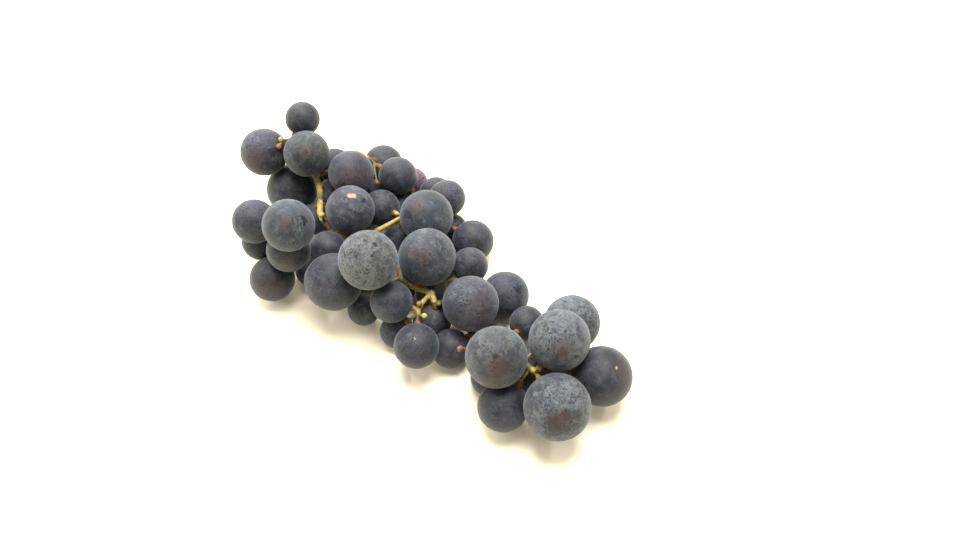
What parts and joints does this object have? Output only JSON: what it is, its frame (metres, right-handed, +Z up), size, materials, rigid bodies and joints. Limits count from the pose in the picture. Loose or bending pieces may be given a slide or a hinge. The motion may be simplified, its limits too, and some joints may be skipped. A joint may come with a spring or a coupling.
{
  "type": "bunch of grapes",
  "caption": "Bunch of dark blue table grapes lying on its side, round berries with a pale bloom on a branching yellow-green stem.",
  "frame": {"origin": "on the table, under the middle of the bunch's bounding box", "axes": "+X from the cut end of the stem to the tip of the bunch, +Y across it, +Z up from the table"},
  "size_m": [0.2132, 0.1064, 0.0606],
  "materials": {
    "berry_skin": "satin",
    "green_stem": "satin"
  },
  "bodies": {
    "root": {"stem": "green_stem", "berry_01": "berry_skin", "berry_02": "berry_skin", "berry_03": "berry_skin", "berry_04": "berry_skin", "berry_05": "berry_skin", "berry_06": "berry_skin", "berry_07": "berry_skin", "berry_08": "berry_skin", "berry_09": "berry_skin", "berry_10": "berry_skin", "berry_11": "berry_skin", "berry_12": "berry_skin", "berry_13": "berry_skin", "berry_14": "berry_skin", "berry_15": "berry_skin", "berry_16": "berry_skin", "berry_17": "berry_skin", "berry_18": "berry_skin", "berry_19": "berry_skin", "berry_20": "berry_skin", "berry_21": "berry_skin", "berry_22": "berry_skin", "berry_23": "berry_skin", "berry_24": "berry_skin", "berry_25": "berry_skin", "berry_26": "berry_skin", "berry_27": "berry_skin", "berry_28": "berry_skin", "berry_29": "berry_skin", "berry_30": "berry_skin", "berry_31": "berry_skin", "berry_32": "berry_skin", "berry_33": "berry_skin", "berry_34": "berry_skin", "berry_35": "berry_skin", "berry_36": "berry_skin", "berry_37": "berry_skin", "berry_38": "berry_skin", "berry_39": "berry_skin", "berry_40": "berry_skin", "berry_41": "berry_skin", "berry_42": "berry_skin", "berry_43": "berry_skin", "berry_44": "berry_skin", "berry_45": "berry_skin", "berry_46": "berry_skin", "berry_47": "berry_skin", "berry_48": "berry_skin", "berry_49": "berry_skin", "berry_50": "berry_skin", "berry_51": "berry_skin", "berry_52": "berry_skin", "berry_53": "berry_skin", "berry_54": "berry_skin", "berry_55": "berry_skin", "berry_56": "berry_skin", "berry_57": "berry_skin", "berry_58": "berry_skin", "berry_59": "berry_skin"}
  },
  "joints": []
}
